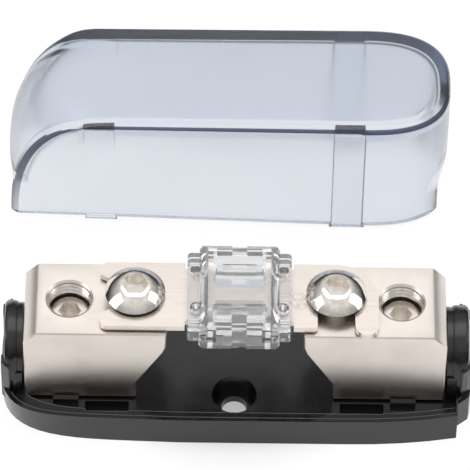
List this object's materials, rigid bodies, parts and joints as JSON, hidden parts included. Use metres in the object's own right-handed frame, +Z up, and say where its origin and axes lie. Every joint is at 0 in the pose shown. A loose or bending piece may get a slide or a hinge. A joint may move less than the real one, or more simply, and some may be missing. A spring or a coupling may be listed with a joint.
{
  "type": "bolt-down strip fuse holder",
  "caption": "Fuse holder: tray with two set-screw terminal blocks, a bolted strip fuse in a clear housing and a lift-off cover.",
  "frame": {"origin": "centre of the tray's flat underside, between the fixing holes", "axes": "+X along the holder from wire entry to wire entry, +Z up out of the mounting surface, -Y to the front; the removed cover stands at +Y"},
  "size_m": [0.0713, 0.063, 0.0255],
  "materials": {
    "black_plastic": "glossy moulded black",
    "plated_brass": "satin nickel plate",
    "screw_steel": "bright nickel plate",
    "strip_metal": "blanked and plated",
    "clear_plastic": "clear moulded",
    "smoke_plastic": "smoke-blue moulded, frosted inside"
  },
  "bodies": {
    "holder": {"base_tray": "black_plastic", "terminal_block_left": "plated_brass", "terminal_block_right": "plated_brass", "block_screw_left": "screw_steel", "block_screw_right": "screw_steel", "fuse_strip": "strip_metal", "fuse_housing_upper": "clear_plastic", "fuse_housing_lower": "clear_plastic"},
    "set_screw_left": {"wire_set_screw_left": "screw_steel"},
    "set_screw_right": {"wire_set_screw_right": "screw_steel"},
    "fuse_screw_left": {"fuse_screw_left": "screw_steel"},
    "fuse_screw_right": {"fuse_screw_right": "screw_steel"},
    "cover": {"cover": "smoke_plastic"}
  },
  "joints": [
    {"name": "set_screw_travel_left", "type": "slide", "parent": "holder", "child": "set_screw_left", "axis": [0, 0, 1], "range_m": [-0.0055, 0.0025]},
    {"name": "set_screw_travel_right", "type": "slide", "parent": "holder", "child": "set_screw_right", "axis": [0, 0, 1], "range_m": [-0.0055, 0.0025]},
    {"name": "fuse_screw_travel_left", "type": "slide", "parent": "holder", "child": "fuse_screw_left", "axis": [0, 0, 1], "range_m": [0, 0.009]},
    {"name": "fuse_screw_travel_right", "type": "slide", "parent": "holder", "child": "fuse_screw_right", "axis": [0, 0, 1], "range_m": [0, 0.009]},
    {"name": "cover_lift", "type": "slide", "parent": "holder", "child": "cover", "axis": [0, 0, 1], "range_m": [0, 0.03]}
  ]
}
